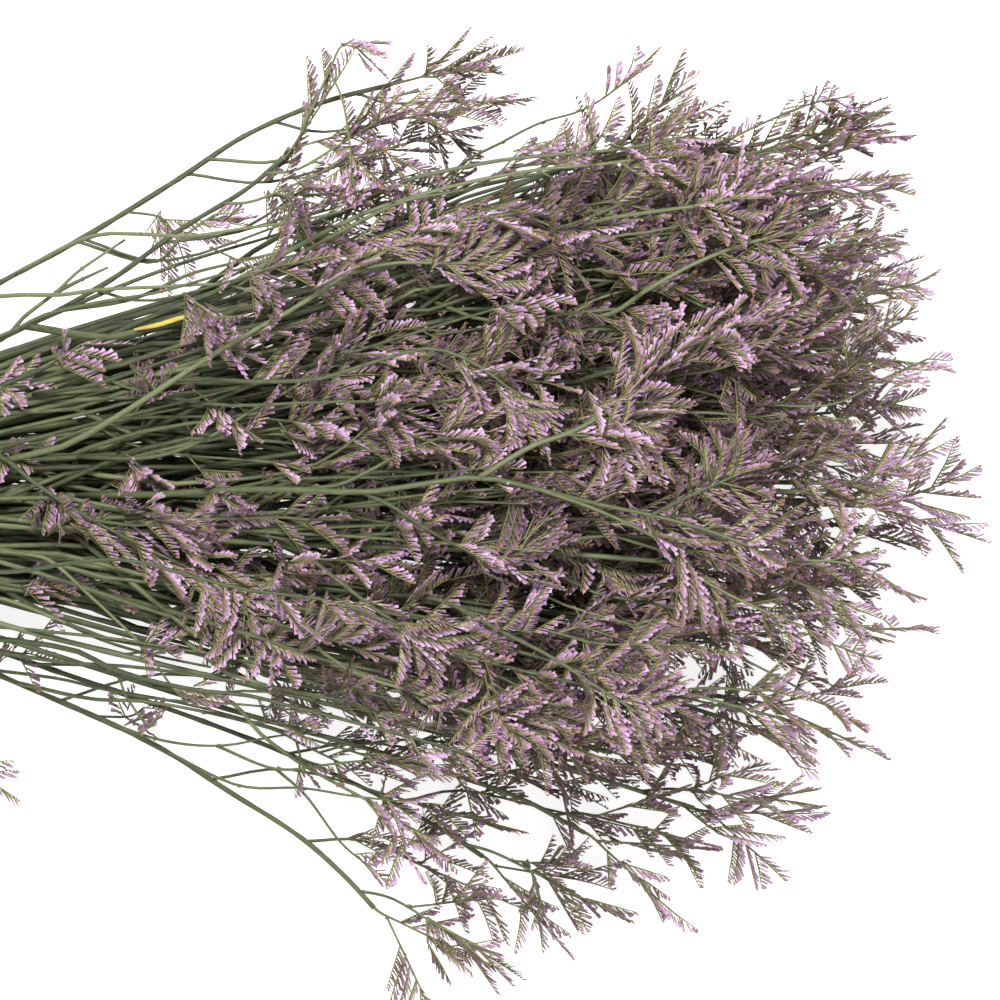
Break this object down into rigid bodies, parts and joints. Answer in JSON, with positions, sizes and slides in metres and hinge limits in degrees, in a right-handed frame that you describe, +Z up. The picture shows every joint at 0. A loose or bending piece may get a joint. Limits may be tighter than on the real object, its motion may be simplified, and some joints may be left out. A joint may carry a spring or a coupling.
{
  "type": "dried flower bunch",
  "caption": "Bunch of cut, branched dried statice stems with one-sided mauve flower spikes, held by an elastic band near the cut ends and lying on its side.",
  "frame": {"origin": "on the surface that the bunch lies on, under the middle of its bounding box", "axes": "+X along the stems from the cut ends to the flowers, +Y across the fan, +Z up from the surface"},
  "size_m": [0.6366, 0.396, 0.1621],
  "materials": {
    "flowers": "dry, matt",
    "stems": "dry, faintly waxy",
    "band": "matt"
  },
  "bodies": {
    "root": {"stem_01": "flowers", "stem_02": "flowers", "stem_03": "flowers", "stem_04": "flowers", "stem_05": "flowers", "stem_06": "flowers", "stem_07": "flowers", "stem_08": "flowers", "stem_09": "flowers", "stem_10": "flowers", "stem_11": "flowers", "stem_12": "flowers", "stem_13": "flowers", "stem_14": "flowers", "stem_15": "flowers", "stem_16": "flowers", "stem_17": "flowers", "stem_18": "flowers", "stem_19": "flowers", "stem_20": "flowers", "stem_21": "flowers", "stem_22": "flowers", "stem_23": "flowers", "stem_24": "flowers", "stem_25": "flowers", "stem_26": "flowers", "stem_27": "flowers", "stem_28": "flowers", "stem_29": "flowers", "stem_30": "flowers", "stem_31": "flowers", "stem_32": "flowers", "stem_33": "flowers", "stem_34": "flowers", "stem_35": "flowers", "stem_36": "flowers", "band": "band"}
  },
  "joints": []
}
